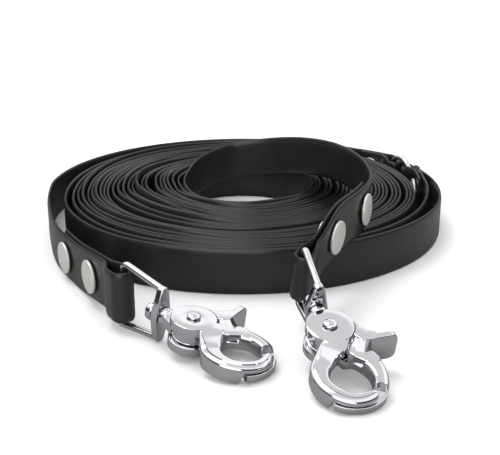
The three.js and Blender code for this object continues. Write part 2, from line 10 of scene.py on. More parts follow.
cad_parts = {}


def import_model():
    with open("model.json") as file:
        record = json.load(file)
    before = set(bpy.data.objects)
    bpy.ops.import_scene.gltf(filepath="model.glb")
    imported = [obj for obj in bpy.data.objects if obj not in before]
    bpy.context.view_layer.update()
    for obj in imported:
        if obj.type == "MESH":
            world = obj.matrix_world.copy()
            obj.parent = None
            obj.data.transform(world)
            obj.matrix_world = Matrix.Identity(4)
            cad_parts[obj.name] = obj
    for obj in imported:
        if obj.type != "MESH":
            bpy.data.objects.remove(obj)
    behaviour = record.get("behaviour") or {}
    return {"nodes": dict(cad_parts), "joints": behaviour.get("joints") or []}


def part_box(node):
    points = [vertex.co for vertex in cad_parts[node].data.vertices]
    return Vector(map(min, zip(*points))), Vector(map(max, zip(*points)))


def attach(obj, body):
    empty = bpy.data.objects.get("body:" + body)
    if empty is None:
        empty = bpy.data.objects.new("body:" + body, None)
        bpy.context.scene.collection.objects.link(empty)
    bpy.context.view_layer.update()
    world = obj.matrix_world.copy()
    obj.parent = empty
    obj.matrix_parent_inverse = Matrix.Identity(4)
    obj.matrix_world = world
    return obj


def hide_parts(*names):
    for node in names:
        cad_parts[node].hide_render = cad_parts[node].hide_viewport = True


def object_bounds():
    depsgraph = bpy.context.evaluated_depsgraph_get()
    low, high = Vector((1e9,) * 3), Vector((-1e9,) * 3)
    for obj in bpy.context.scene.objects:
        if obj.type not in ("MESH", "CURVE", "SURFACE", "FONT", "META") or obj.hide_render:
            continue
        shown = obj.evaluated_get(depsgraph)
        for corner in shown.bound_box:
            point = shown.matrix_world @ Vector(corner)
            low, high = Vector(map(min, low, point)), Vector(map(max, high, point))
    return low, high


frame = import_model()
CAD_LOW, CAD_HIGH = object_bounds()

# Lengths are in metres, except in courses of turns, rivets and hook pieces, which are in millimetres.
MM = 0.001
scene = bpy.context.scene
UP = np.array([0.0, 0.0, 1.0])

coil_low, coil_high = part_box("long_strap_coil")
COIL = np.array([(coil_low.x + coil_high.x) / 2, (coil_low.y + coil_high.y) / 2, coil_low.z])


# ------------------------------------------------------------------ camera

LENS_MM = 61.06
SENSOR_MM = 36.0
NEAREST_SEEN = 0.01
CAMERA_FROM_COIL = Vector((0.00296, -0.4028, 0.1317))
CAMERA_TILT = 71.28


def make_camera():
    data = bpy.data.cameras.new("camera")
    data.lens = LENS_MM
    data.sensor_width = SENSOR_MM
    data.clip_start = NEAREST_SEEN
    camera = bpy.data.objects.new("camera", data)
    camera.location = Vector(COIL) + CAMERA_FROM_COIL
    camera.rotation_euler = (math.radians(CAMERA_TILT), 0.0, 0.0)
    scene.collection.objects.link(camera)
    scene.camera = camera


make_camera()


# ------------------------------------------------------------------ strap routes

STRAP_WIDTH = 0.019
STRAP_THICKNESS = 0.0019
# The strap is drawn a little thinner than the CAD's, so that the gaps between its turns show.
BODY_THICKNESS = 0.0016
EDGE_ROUNDING = 0.0024
HALF_WIDTH = STRAP_WIDTH / 2
LAYER_OFFSET = (STRAP_THICKNESS + 0.0003) / 2
STATION_STEP = 0.0032
TAIL_STEP = 0.0025
# Near a fold the stations lie closer together.
FOLD_REACH = 0.022
FOLD_STEP = 0.001
HOOK_FOLD_CLOSING = 0.009
HOOK_TAIL = 0.064
RING_TAIL = 0.025
RING_WAIST = 0.0078


def coil_point(angle, radius, z):
    """A point of the coil; the angle is in degrees, clockwise from the coil's left side."""
    a = math.radians(angle)
    return np.array([-radius * math.cos(a), radius * math.sin(a), z])


def smooth(x, low, high):
    t = np.clip((np.asarray(x, float) - low) / (high - low), 0.0, 1.0)
    return t * t * (3 - 2 * t)


def unit(v):
    v = np.asarray(v, float)
    return v / np.linalg.norm(v, axis=-1, keepdims=True)


def course(knots):
    """A smooth function of turn angle through knots of (angle, radius, height), in millimetres."""
    knots = np.array(knots, float)
    x, y = knots[:, 0], knots[:, 1:]
    slope = np.zeros_like(y)
    slope[1:-1] = (y[2:] - y[:-2]) / (x[2:] - x[:-2])[:, None]
    slope[0] = (y[1] - y[0]) / (x[1] - x[0])
    slope[-1] = (y[-1] - y[-2]) / (x[-1] - x[-2])

    def at(angle):
        angle = np.atleast_1d(np.asarray(angle, float))
        i = np.clip(np.searchsorted(x, angle) - 1, 0, len(x) - 2)
        step = (x[i + 1] - x[i])[:, None]
        t = ((angle - x[i]) / step[:, 0])[:, None]
        h00, h10 = 2 * t**3 - 3 * t**2 + 1, t**3 - 2 * t**2 + t
        h01, h11 = -2 * t**3 + 3 * t**2, t**3 - t**2
        return h00 * y[i] + h10 * step * slope[i] + h01 * y[i + 1] + h11 * step * slope[i + 1]

    return at


def coil_route(at, first, last, step=6.0):
    angles = np.linspace(first, last, int(math.ceil((last - first) / step)) + 1)
    return [coil_point(a, r * MM, max(z * MM, HALF_WIDTH)) for a, (r, z) in zip(angles, at(angles))]


def spline(points, per_segment=6):
    """A centripetal Catmull-Rom curve through the points, as a dense line."""
    p = np.array(points, float)
    p = np.vstack([2 * p[0] - p[1], p, 2 * p[-1] - p[-2]])
    line = []
    for i in range(1, len(p) - 2):
        p0, p1, p2, p3 = p[i - 1 : i + 3]
        d0, d1, d2 = (max(np.linalg.norm(b - a) ** 0.5, 1e-9) for a, b in ((p0, p1), (p1, p2), (p2, p3)))
        m1 = ((p1 - p0) / d0 - (p2 - p0) / (d0 + d1) + (p2 - p1) / d1) * d1
        m2 = ((p2 - p1) / d1 - (p3 - p1) / (d1 + d2) + (p3 - p2) / d2) * d1
        t = np.linspace(0, 1, per_segment, endpoint=False)[:, None]
        line.append((2 * t**3 - 3 * t**2 + 1) * p1 + (t**3 - 2 * t**2 + t) * m1
                    + (-2 * t**3 + 3 * t**2) * p2 + (t**3 - t**2) * m2)
    line.append(p[-2][None])
    return np.vstack(line)


class Fold:
    """A strap end that turns back round a bar or ring: its pocket, and how long its tail is."""

    def __init__(self, up, radius, pocket, tail, waist=None, closing=0.005):
        self.up, self.radius, self.pocket, self.tail = np.asarray(up, float), radius, pocket, tail
        self.waist, self.closing = waist, closing

    def offset(self, reach):
        closed = smooth(reach, self.pocket, self.pocket + self.closing)
        return self.radius + (LAYER_OFFSET - self.radius) * closed

    def half_width(self, reach):
        if self.waist is None:
            return np.full_like(reach, HALF_WIDTH)
        return self.waist + (HALF_WIDTH - self.waist) * smooth(reach, 0.001, 0.0036)


class Route:
    """One strap laid along its joint line, with a fold at either or both ends."""

    def __init__(self, points, start=None, end=None):
        line = spline(points)
        line[:, 2] = np.maximum(line[:, 2], HALF_WIDTH)
        self.line = line
        self.along = np.concatenate([[0], np.cumsum(np.linalg.norm(np.diff(line, axis=0), axis=1))])
        self.length = self.along[-1]
        self.start, self.end = start, end

    def point(self, d):
        return np.stack([np.interp(d, self.along, self.line[:, k]) for k in range(3)], -1)

    def frame(self, d):
        d = np.clip(np.atleast_1d(np.asarray(d, float)), 0, self.length)
        h = 0.0015
        tangent = unit(self.point(np.minimum(d + h, self.length)) - self.point(np.maximum(d - h, 0)))
        up = np.tile(UP, (len(d), 1))
        for fold, reach in ((self.start, d), (self.end, self.length - d)):
            if fold is not None:
                near = (1 - smooth(reach, 0.008, 0.040))[:, None]
                up = up + (fold.up - UP) * near
        up = unit(up)
        return self.point(d), tangent, up, unit(np.cross(up, tangent))

    def main_offset(self, d):
        total = np.zeros_like(d)
        for fold, reach in ((self.start, d), (self.end, self.length - d)):
            if fold is not None:
                total += fold.offset(reach) * (1 - smooth(reach, fold.tail + 0.005, fold.tail + 0.035))
        return total

    def layer(self, d, offset, half):
        point, _, up, side = self.frame(d)
        return point + side * np.asarray(offset)[:, None], up, half

    def widths(self, d):
        half = np.full_like(d, HALF_WIDTH)
        for fold, reach in ((self.start, d), (self.end, self.length - d)):
            if fold is not None:
                half = np.minimum(half, fold.half_width(reach))
        return half

    def bend(self, fold, d, forward):
        point, _, up, side = self.frame([d])
        ahead = np.cross(side, up) * forward
        angles = np.radians(np.arange(1, 12) * 15.0)[:, None]
        ring = point + side * np.cos(angles) * fold.radius + ahead * np.sin(angles) * fold.radius
        half = fold.waist if fold.waist is not None else HALF_WIDTH
        return ring, np.repeat(up, len(ring), 0), np.full(len(ring), half)

    def stations(self):
        inner = np.arange(0, FOLD_REACH, FOLD_STEP)
        d = np.linspace(0, self.length, int(self.length / STATION_STEP))
        if self.start is not None:
            d = np.concatenate([inner, d[d > inner[-1] + FOLD_STEP]])
        if self.end is not None:
            d = np.concatenate([d[d < self.length - inner[-1] - FOLD_STEP], self.length - inner[::-1]])
        parts = [self.layer(d, self.main_offset(d), self.widths(d))]
        if self.start is not None:
            reach = self.tail_reaches(self.start)
            tail = self.layer(reach, -self.start.offset(reach), self.start.half_width(reach))
            bend = self.bend(self.start, 0.0, -1)
            parts = [tuple(a[::-1] for a in tail), tuple(a[::-1] for a in bend)] + parts
        if self.end is not None:
            reach = self.tail_reaches(self.end)
            tail = self.layer(self.length - reach, -self.end.offset(reach), self.end.half_width(reach))
            parts += [self.bend(self.end, self.length, 1), tail]
        return tuple(np.concatenate([part[k] for part in parts]) for k in range(3))

    @staticmethod
    def tail_reaches(fold):
        near = np.arange(0, FOLD_REACH, FOLD_STEP)
        far = np.arange(near[-1] + 2 * FOLD_STEP, fold.tail, TAIL_STEP)
        return np.concatenate([near[near < fold.tail], far, [fold.tail]])


def strap_section(half_width):
    """The strap's section: how far each corner is from its middle, across and along its width."""
    t, round_width = BODY_THICKNESS / 2, EDGE_ROUNDING
    rows = []
    flat = half_width - round_width
    for angle in (-90, -60, -30, 0, 30, 60, 90):
        a = math.radians(angle)
        rows.append((t * math.sin(a), flat + round_width * math.cos(a)))
    right = [(t, flat - 0.0006), (t * 0.965, 0.0), (t, -flat + 0.0006)]
    bottom = [(-x, -y) for x, y in rows]
    left = [(-x, -y) for x, y in right]
    return rows + right + bottom + left


def strap_mesh(name, route):
    point, up, half = route.stations()
    point = point + COIL
    tangent = unit(np.gradient(point, axis=0))
    side = unit(np.cross(up, tangent))
    high = np.cross(tangent, side)
    base = np.array(strap_section(HALF_WIDTH))
    # The rounded edge keeps its size where the strap is narrower, so only its middle shrinks.
    sections = []
    for i in range(len(point)):
        y = base[:, 1] - np.sign(base[:, 1]) * (HALF_WIDTH - half[i]) * (np.abs(base[:, 1]) > 0.001)
        sections.append(point[i] + side[i] * base[:, :1] + high[i] * y[:, None])
    n, m = len(point), len(base)
    verts = np.concatenate(sections)
    faces = []
    for i in range(n - 1):
        for j in range(m):
            k = (j + 1) % m
            faces.append((i * m + j, i * m + k, (i + 1) * m + k, (i + 1) * m + j))
    faces.append(tuple(reversed(range(m))))
    faces.append(tuple((n - 1) * m + j for j in range(m)))
    return make_mesh(name, verts, faces)


def make_mesh(name, verts, faces, sharp=math.radians(38)):
    mesh = bpy.data.meshes.new(name)
    mesh.from_pydata([tuple(v) for v in verts], [], faces)
    mesh.update()
    tidy = bmesh.new()
    tidy.from_mesh(mesh)
    bmesh.ops.recalc_face_normals(tidy, faces=tidy.faces)
    tidy.to_mesh(mesh)
    tidy.free()
    mesh.polygons.foreach_set("use_smooth", [True] * len(mesh.polygons))
    mesh.set_sharp_from_angle(angle=sharp)
    piece = bpy.data.objects.new(name, mesh)
    scene.collection.objects.link(piece)
    return piece


def joint(name):
    return next(j for j in frame["joints"] if j["name"] == name)


def hook_matrix(prefix):
    """The hook's own frame: X away from the strap, Z up through its jaws, origin on the loop's bar."""
    x = Vector(joint(prefix + "_swivel")["axis"]).normalized()
    z = Vector(joint(prefix + "_swing")["axis"]).normalized()
    y = z.cross(x)
    m = Matrix((x, y, z)).transposed().to_4x4()
    m.translation = Vector(joint(prefix + "_swing")["pos_m"])
    return m


HOOKS = {"hand_hook": hook_matrix("hand_hook"), "long_hook": hook_matrix("long_hook")}


def bar_centre(prefix):
    return np.array(HOOKS[prefix].translation) - COIL


def bar_axis(prefix):
    return np.array(HOOKS[prefix].col[2][:3])


RING_RADIAL = unit(np.array(joint("o_ring_spin")["axis"]))
RING_ALONG = np.cross(RING_RADIAL, UP)
RING_CENTRE = np.array(joint("o_ring_spin")["pos_m"]) - COIL
RING_FOLD = Fold(UP, radius=0.0026, pocket=0.0057, tail=RING_TAIL, waist=RING_WAIST)


def ring_side(reach):
    return RING_CENTRE + RING_ALONG * reach


def mm(*xyz):
    return np.array(xyz, float) * MM


def heading(degrees):
    a = math.radians(degrees)
    return np.array([math.cos(a), math.sin(a), 0.0])


FLOOR = HALF_WIDTH / MM


def at_height(point, z):
    return np.array([point[0], point[1], z * MM])


def hand_strap_route():
    bar, away = bar_centre("hand_hook"), heading(120)
    lead = [
        at_height(bar - away * 0.0008, 13.5),
        at_height(bar + away * 0.012, 13),
        at_height(bar + away * 0.025, 11.6),
        mm(-64.8, -88, FLOOR), mm(-71.5, -76.5, FLOOR), mm(-77, -66, FLOOR),
        mm(-82.5, -53, FLOOR), mm(-87.2, -38.5, FLOOR), mm(-91, -22.5, FLOOR),
    ]
    at = course([
        (-10, 93.5, FLOOR), (0, 94.2, FLOOR), (45, 95.4, FLOOR), (90, 96, FLOOR), (135, 95.4, FLOOR),
        (160, 94.8, FLOOR), (180, 94.3, FLOOR), (225, 95.2, FLOOR), (270, 95.8, FLOOR),
        (300, 94.6, FLOOR), (330, 88.8, FLOOR), (360, 84.9, FLOOR), (405, 87, FLOOR),
        (450, 91.3, FLOOR), (480, 90.8, FLOOR), (500, 88.8, 11.6),
    ])
    end = [ring_side(-0.015), ring_side(-0.007)]
    start = Fold(UP, radius=0.0035, pocket=0.0044, tail=HOOK_TAIL, closing=HOOK_FOLD_CLOSING)
    return Route(lead + coil_route(at, 0, 500) + end, start, RING_FOLD)


# The long strap's outer turns; the spiral inside them starts from their last turn.
OUTER_TURNS = course([
    (539, 87.6, 11.6), (560, 88.4, FLOOR), (590, 91, FLOOR), (630, 92.6, FLOOR),
    (660, 90.6, FLOOR), (690, 85, FLOOR), (720, 81.4, FLOOR), (765, 84, FLOOR),
    (810, 88, FLOOR), (845, 83.6, FLOOR), (880, 81.7, FLOOR), (900, 81.6, FLOOR),
    (945, 85.6, FLOOR), (990, 89.4, FLOOR), (1035, 83.4, FLOOR), (1080, 79, FLOOR),
])
INNERMOST_TURN = course([
    (8640, 32.2, FLOOR), (8685, 37.4, FLOOR), (8730, 39.8, FLOOR), (8775, 37, FLOOR),
    (8820, 33.8, FLOOR), (8865, 33.7, FLOOR), (8910, 33.6, FLOOR), (8955, 31, FLOOR),
    (9000, 28.4, FLOOR),
])
FIRST_TURN_ANGLE = 720
INNER_TURNS = 22
SPIRAL_STEP = 5
SPIRAL_FROM, SPIRAL_TO = 1082, 8862
# How unevenly the turns lie: steps between random values, and how far the values spread.
SEED = 11
GAP_EVERY, GAP_SPREAD, WIDEST_GAP, LEAST_GAP = 16, 1.35, 9.0, 0.05
LIFT_EVERY, LIFT_SPREAD, LIFT_UNDER_LEAD = 17, 1.15, 0.95
SMOOTHING = 9


def smooth_noise(rng, count, every, spread):
    """Random values at even steps, joined smoothly: one value a step of the spiral."""
    knots = [rng.gauss(0, spread) for _ in range(int(count / every) + 4)]
    x = np.arange(count) / every + 1
    i = x.astype(int)
    t = x - i
    p = np.array(knots)
    p0, p1, p2, p3 = p[i - 1], p[i], p[i + 1], p[np.minimum(i + 2, len(p) - 1)]
    return 0.5 * (2 * p1 + (p2 - p0) * t + (2 * p0 - 5 * p1 + 4 * p2 - p3) * t**2
                  + (3 * p1 - 3 * p2 + p3 - p0) * t**3)


def spiral_points():
    """The inner turns: each lies a strap's thickness and an uneven gap inside the one before."""
    rng = random.Random(SEED)
    n = 360 // SPIRAL_STEP
    azimuth = FIRST_TURN_ANGLE + np.arange(n) * SPIRAL_STEP
    outer = OUTER_TURNS(azimuth)[:, 0]
    inner = INNERMOST_TURN(azimuth + 360 * INNER_TURNS)[:, 0]
    spare = outer - inner - INNER_TURNS * BODY_THICKNESS / MM
    weight = np.exp(smooth_noise(rng, n * INNER_TURNS, GAP_EVERY, GAP_SPREAD))
    weight = weight.reshape(INNER_TURNS, n)
    weight = np.minimum(weight, WIDEST_GAP) + LEAST_GAP
    gaps = spare * weight / weight.sum(axis=0)
    turns = [outer]
    for k in range(INNER_TURNS):
        turns.append(turns[-1] - BODY_THICKNESS / MM - gaps[k])
    radius = np.concatenate(turns)
    kernel = np.hanning(SMOOTHING)
    radius = np.convolve(np.pad(radius, SMOOTHING // 2, mode="edge"), kernel / kernel.sum(), mode="valid")
    angles = FIRST_TURN_ANGLE + np.arange(len(radius)) * SPIRAL_STEP
    lift = np.abs(smooth_noise(rng, len(radius), LIFT_EVERY, LIFT_SPREAD))
    lift *= smooth(angles, 1080, 1200) * (1 - smooth(angles, 8500, 8800))
    # Turns lie low where the strap's inner end crosses over them.
    crossing = smooth(angles % 360, 110, 150) * (1 - smooth(angles % 360, 255, 295))
    lift *= 1 - LIFT_UNDER_LEAD * crossing
    keep = (angles > SPIRAL_FROM) & (angles <= SPIRAL_TO)
    return [coil_point(a, r * MM, HALF_WIDTH + z * MM)
            for a, r, z in zip(angles[keep], radius[keep], lift[keep])]


def long_strap_route():
    bar, axis = bar_centre("long_hook"), bar_axis("long_hook")
    towards = heading(244)
    towards = unit(towards - axis * towards.dot(axis))
    start = [ring_side(0.007), ring_side(0.015)]
    lead = [
        mm(0, -33.2, FLOOR), mm(-20, -25.5, 9.8), mm(-28.4, -8, 11.2), mm(-28.2, 8, 13),
        mm(-21.5, 24.6, 17),
        mm(-4.8, 34.5, 21.2), mm(14.6, 29.4, 24.9), mm(30, 16.6, 28.1), mm(41.4, 5.2, 28.9),
        mm(47.8, -6, 29), mm(52.2, -20, 29), mm(54.3, -36, 29), mm(53.6, -52, 29),
        mm(50.6, -67, 29.1), mm(45.4, -81.5, 29.4),
        at_height(bar + towards * -0.032, 28.2), bar + towards * -0.016, bar,
    ]
    points = start + coil_route(OUTER_TURNS, 539, 1080) + spiral_points() + lead
    end = Fold(axis, radius=0.0027, pocket=0.0024, tail=HOOK_TAIL, closing=HOOK_FOLD_CLOSING)
    return Route(points, RING_FOLD, end)


# ------------------------------------------------------------------ materials

class Nodes:
    """A short way to build a node tree."""

    def __init__(self, name):
        self.material = bpy.data.materials.new(name)
        self.material.use_nodes = True
        self.tree = self.material.node_tree
        self.shader = self.tree.nodes["Principled BSDF"]

    def add(self, kind, **settings):
        node = self.tree.nodes.new(kind)
        for key, value in settings.items():
            if key in node.inputs:
                node.inputs[key].default_value = value
            else:
                setattr(node, key, value)
        return node

    def link(self, out, into):
        self.tree.links.new(out, into)

    def position(self):
        return self.add("ShaderNodeNewGeometry").outputs["Position"]

    def noise(self, vector, scale, detail=3.0, roughness=0.55):
        node = self.add("ShaderNodeTexNoise", Scale=scale, Detail=detail, Roughness=roughness)
        self.link(vector, node.inputs["Vector"])
        return node.outputs["Fac"]

    def ramp(self, value, stops):
        node = self.add("ShaderNodeValToRGB")
        self.link(value, node.inputs["Fac"])
        ramp = node.color_ramp
        while len(ramp.elements) < len(stops):
            ramp.elements.new(0.5)
        for element, (place, colour) in zip(ramp.elements, stops):
            element.position = place
            element.color = (*colour, 1.0)
        return node.outputs["Color"]

    def span(self, value, low, high, to_low, to_high):
        node = self.add("ShaderNodeMapRange")
        self.link(value, node.inputs["Value"])
        node.inputs["From Min"].default_value = low
        node.inputs["From Max"].default_value = high
        node.inputs["To Min"].default_value = to_low
        node.inputs["To Max"].default_value = to_high
        return node.outputs["Result"]

    def bump(self, height, strength, distance, below=None):
        node = self.add("ShaderNodeBump", Strength=strength, Distance=distance)
        self.link(height, node.inputs["Height"])
        if below is not None:
            self.link(below, node.inputs["Normal"])
        return node.outputs["Normal"]

    def set(self, **sockets):
        for key, value in sockets.items():
            socket = self.shader.inputs[key.replace("_", " ")]
            if isinstance(value, bpy.types.NodeSocket):
                self.link(value, socket)
            else:
                socket.default_value = value
        return self.material


def own_position(nodes):
    """Texture coordinates that stay with a piece as it moves."""
    return nodes.add("ShaderNodeTexCoord").outputs["Object"]


def webbing_material():
    n = Nodes("coated_webbing")
    place = own_position(n)
    grain = n.noise(place, 2600, 2)
    scuffs = n.noise(place, 170, 5, 0.65)
    patches = n.noise(place, 38, 3)
    colour = n.ramp(patches, [(0.3, (0.011, 0.011, 0.0115)), (0.75, (0.0155, 0.0155, 0.0163))])
    roughness = n.span(scuffs, 0.3, 0.72, 0.26, 0.37)
    normal = n.bump(grain, 0.16, 0.00006)
    normal = n.bump(scuffs, 0.1, 0.0004, normal)
    return n.set(Base_Color=colour, Roughness=roughness, Normal=normal, Specular_IOR_Level=0.5,
                 Coat_Weight=0.06, Coat_Roughness=0.16)


def chrome_material():
    n = Nodes("hook_chrome")
    place = own_position(n)
    waves = n.noise(place, 190, 2)
    specks = n.noise(place, 1500, 3)
    colour = n.ramp(waves, [(0.25, (0.71, 0.71, 0.73)), (0.8, (0.78, 0.78, 0.795))])
    roughness = n.span(specks, 0.35, 0.8, 0.05, 0.13)
    return n.set(Base_Color=colour, Metallic=1.0, Roughness=roughness,
                 Normal=n.bump(waves, 0.05, 0.0002))


def rivet_material():
    n = Nodes("rivet_nickel")
    place = own_position(n)
    brushed = n.noise(place, 900, 4)
    stains = n.noise(place, 210, 3)
    colour = n.ramp(stains, [(0.3, (0.62, 0.61, 0.585)), (0.75, (0.7, 0.69, 0.67))])
    roughness = n.span(brushed, 0.3, 0.75, 0.34, 0.48)
    return n.set(Base_Color=colour, Metallic=0.6, Roughness=roughness,
                 Normal=n.bump(brushed, 0.08, 0.0001))


def spring_material():
    n = Nodes("spring_wire")
    place = own_position(n)
    drawn = n.noise(place, 1200, 3)
    colour = n.ramp(drawn, [(0.3, (0.3, 0.3, 0.31)), (0.75, (0.44, 0.44, 0.45))])
    return n.set(Base_Color=colour, Metallic=1.0, Roughness=n.span(drawn, 0.3, 0.7, 0.3, 0.45))


WEBBING = webbing_material()
CHROME = chrome_material()
NICKEL = rivet_material()
SPRING = spring_material()


def finish_piece(piece, body, slot, material, *nodes):
    piece.data.materials.clear()
    piece.data.materials.append(material)
    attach(piece, body)
    if nodes:
        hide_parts(*nodes)
    return piece


# ------------------------------------------------------------------ straps

hand_route = hand_strap_route()
long_route = long_strap_route()

hand_strap = strap_mesh("hand_strap_webbing", hand_route)
finish_piece(hand_strap, "coiled_straps", "webbing", WEBBING, "hand_strap")
long_strap = strap_mesh("long_strap_webbing", long_route)
finish_piece(long_strap, "coiled_straps", "webbing", WEBBING,
             "long_strap_outer_turns", "long_strap_coil", "long_strap_inner_lead")


# ------------------------------------------------------------------ turned and swept pieces

def turned(name, profile, matrix, sides=56, sharp=math.radians(30)):
    """A solid turned about local Z from a profile of (radius, height) in mm, axis to axis or closed."""
    verts, faces, rings = [], [], []
    for r, h in profile:
        if r == 0:
            rings.append([len(verts)])
            verts.append((0.0, 0.0, h * MM))
        else:
            rings.append(list(range(len(verts), len(verts) + sides)))
            for k in range(sides):
                a = 2 * math.pi * k / sides
                verts.append((r * MM * math.cos(a), r * MM * math.sin(a), h * MM))
    closed = profile[0][0] != 0
    pairs = list(zip(rings, rings[1:] + rings[:1])) if closed else list(zip(rings, rings[1:]))
    for low, high in pairs:
        for k in range(sides):
            q = (k + 1) % sides
            if len(low) == 1:
                faces.append((low[0], high[q], high[k]))
            elif len(high) == 1:
                faces.append((low[k], low[q], high[0]))
            else:
                faces.append((low[k], low[q], high[q], high[k]))
    placed = [matrix @ Vector(v) for v in verts]
    return make_mesh(name, placed, faces, sharp)


def swept(name, sections, sharp=math.radians(38), closed=False):
    """A solid through sections, each an array of points in metres."""
    n, m = len(sections), len(sections[0])
    verts = np.concatenate(sections)
    faces = []
    for i in range(n if closed else n - 1):
        for j in range(m):
            k, after = (j + 1) % m, (i + 1) % n
            faces.append((i * m + j, i * m + k, after * m + k, after * m + j))
    if not closed:
        faces.append(tuple(reversed(range(m))))
        faces.append(tuple((n - 1) * m + j for j in range(m)))
    return make_mesh(name, verts, faces, sharp)


def combine(target, tool, operation="UNION"):
    """Joins or cuts two solids into one closed mesh and removes the second."""
    for piece in (target, tool):
        face_outwards(piece.data)
    modifier = target.modifiers.new("combine", "BOOLEAN")
    modifier.operation = operation
    modifier.solver = "MANIFOLD"
    modifier.object = tool
    depsgraph = bpy.context.evaluated_depsgraph_get()
    result = bpy.data.meshes.new_from_object(target.evaluated_get(depsgraph))
    target.modifiers.clear()
    old = target.data
    target.data = result
    bpy.data.meshes.remove(old)
    bpy.data.objects.remove(tool)
    result.polygons.foreach_set("use_smooth", [True] * len(result.polygons))
    result.set_sharp_from_angle(angle=math.radians(32))
    return target


def face_outwards(mesh):
    bm = bmesh.new()
    bm.from_mesh(mesh)
    bmesh.ops.remove_doubles(bm, verts=bm.verts, dist=1e-7)
    bmesh.ops.recalc_face_normals(bm, faces=bm.faces)
    if bm.calc_volume(signed=True) < 0:
        bmesh.ops.reverse_faces(bm, faces=bm.faces)
    bm.to_mesh(mesh)
    bm.free()


def rounded_plate(name, outline, low, high, edge, matrix, steps=3):
    """A flat plate in local XY from an outline in mm, with its top and bottom edges rounded."""
    outline = np.array(outline, float)
    if signed_area(outline) < 0:
        outline = outline[::-1]
    normal = outward(outline)
    rows = []
    for k in range(steps + 1):
        a = math.pi / 2 * (1 - k / steps)
        rows.append((edge * (1 - math.cos(a)), low + edge * (1 - math.sin(a))))
    rows += [(inset, high + low - z) for inset, z in reversed(rows)]
    sections = []
    for inset, z in rows:
        flat = outline - normal * inset
        points = [matrix @ Vector((x * MM, y * MM, z * MM)) for x, y in flat]
        sections.append(np.array(points))
    return swept(name, sections)


def hull(name, points, matrix):
    """The smallest solid round a few points, in mm."""
    bm = bmesh.new()
    for x, y, z in points:
        bm.verts.new(matrix @ Vector((x * MM, y * MM, z * MM)))
    made = bmesh.ops.convex_hull(bm, input=bm.verts)
    spare = made["geom_interior"] + made["geom_unused"]
    inside = {v for v in spare if isinstance(v, bmesh.types.BMVert)}
    bmesh.ops.delete(bm, geom=list(inside), context="VERTS")
    bm.verts.index_update()
    faces = [[v.index for v in f.verts] for f in bm.faces]
    verts = [v.co.copy() for v in bm.verts]
    bm.free()
    return make_mesh(name, verts, faces)


def signed_area(p):
    q = np.roll(p, -1, axis=0)
    return 0.5 * float(np.sum(p[:, 0] * q[:, 1] - q[:, 0] * p[:, 1]))


def outward(p):
    """Outward unit normals at the corners of an anticlockwise outline."""
    before, after = unit(p - np.roll(p, 1, axis=0)), unit(np.roll(p, -1, axis=0) - p)
    t = unit(before + after)
    return np.stack([t[:, 1], -t[:, 0]], -1)


# ------------------------------------------------------------------ rivets

CAP_LOW = 2.65
CAP_PROFILE = [
    (0, -3.1), (2, -3.1), (2, CAP_LOW), (6.15, CAP_LOW - 0.2), (6.42, CAP_LOW - 0.08),
    (6.5, CAP_LOW + 0.18), (6.5, CAP_LOW + 0.5), (6.38, CAP_LOW + 0.78), (6.1, CAP_LOW + 0.92),
    (5.7, CAP_LOW + 0.96), (5.3, CAP_LOW + 0.93), (4.9, CAP_LOW + 0.95), (3.4, CAP_LOW + 1.06),
    (1.8, CAP_LOW + 1.12), (0, CAP_LOW + 1.14),
]
BACK_PROFILE = [
    (0, -4.05), (2.6, -4.02), (4.4, -3.92), (5.1, -3.74), (5.42, -3.45), (5.5, -3.1), (5.42, -2.62),
    (5.2, -2.45), (2.35, -2.55), (2.35, -3.45), (0, -3.45),
]
HOOK_RIVETS = (0.0268, 0.0565)
RING_RIVET = 0.0176


def rivet(name, route, distance, outwards):
    point, _, up, side = (v[0] for v in route.frame([distance]))
    axis = Vector(side * outwards)
    across = Vector(up).cross(axis).normalized()
    m = Matrix((across, axis.cross(across), axis)).transposed().to_4x4()
    m.translation = Vector(point + COIL)
    cap = turned(name + "_cap_face", CAP_PROFILE, m, 64)
    finish_piece(cap, "coiled_straps", "rivets", NICKEL, name + "_cap")
    back = turned(name + "_back_face", BACK_PROFILE, m, 56)
    finish_piece(back, "coiled_straps", "rivets", NICKEL, name + "_back")


for number, reach in enumerate(HOOK_RIVETS, 1):
    rivet(f"hand_hook_rivet_{number}", hand_route, reach, 1)
    rivet(f"long_hook_rivet_{number}", long_route, long_route.length - reach, 1)
rivet("ring_rivet_hand_side", hand_route, hand_route.length - RING_RIVET, -1)
rivet("ring_rivet_long_side", long_route, RING_RIVET, -1)


# ------------------------------------------------------------------ O-ring

def wire_sections(points, ups, radius, sides, closed=False):
    points, ups = np.array(points), np.array(ups)
    if closed:
        tangent = unit(np.roll(points, -1, axis=0) - np.roll(points, 1, axis=0))
    else:
        tangent = unit(np.gradient(points, axis=0))
    normal = unit(np.cross(ups, tangent))
    binormal = np.cross(tangent, normal)
    angles = 2 * math.pi * np.arange(sides) / sides
    return [p + radius * (np.outer(np.cos(angles), a) + np.outer(np.sin(angles), b))
            for p, a, b in zip(points, normal, binormal)]


RING_RADIUS = 0.011
RING_WIRE_RADIUS = 0.0013


def ring_piece():
    centre = RING_CENTRE + COIL
    angles = 2 * math.pi * np.arange(72) / 72
    points = [centre + RING_RADIUS * (math.cos(a) * RING_ALONG + math.sin(a) * UP) for a in angles]
    sections = wire_sections(points, [RING_RADIAL] * len(points), RING_WIRE_RADIUS, 20, closed=True)
    finish_piece(swept("o_ring_wire", sections, closed=True), "o_ring", "hook_chrome", CHROME, "o_ring")


ring_piece()


# ------------------------------------------------------------------ snap hooks

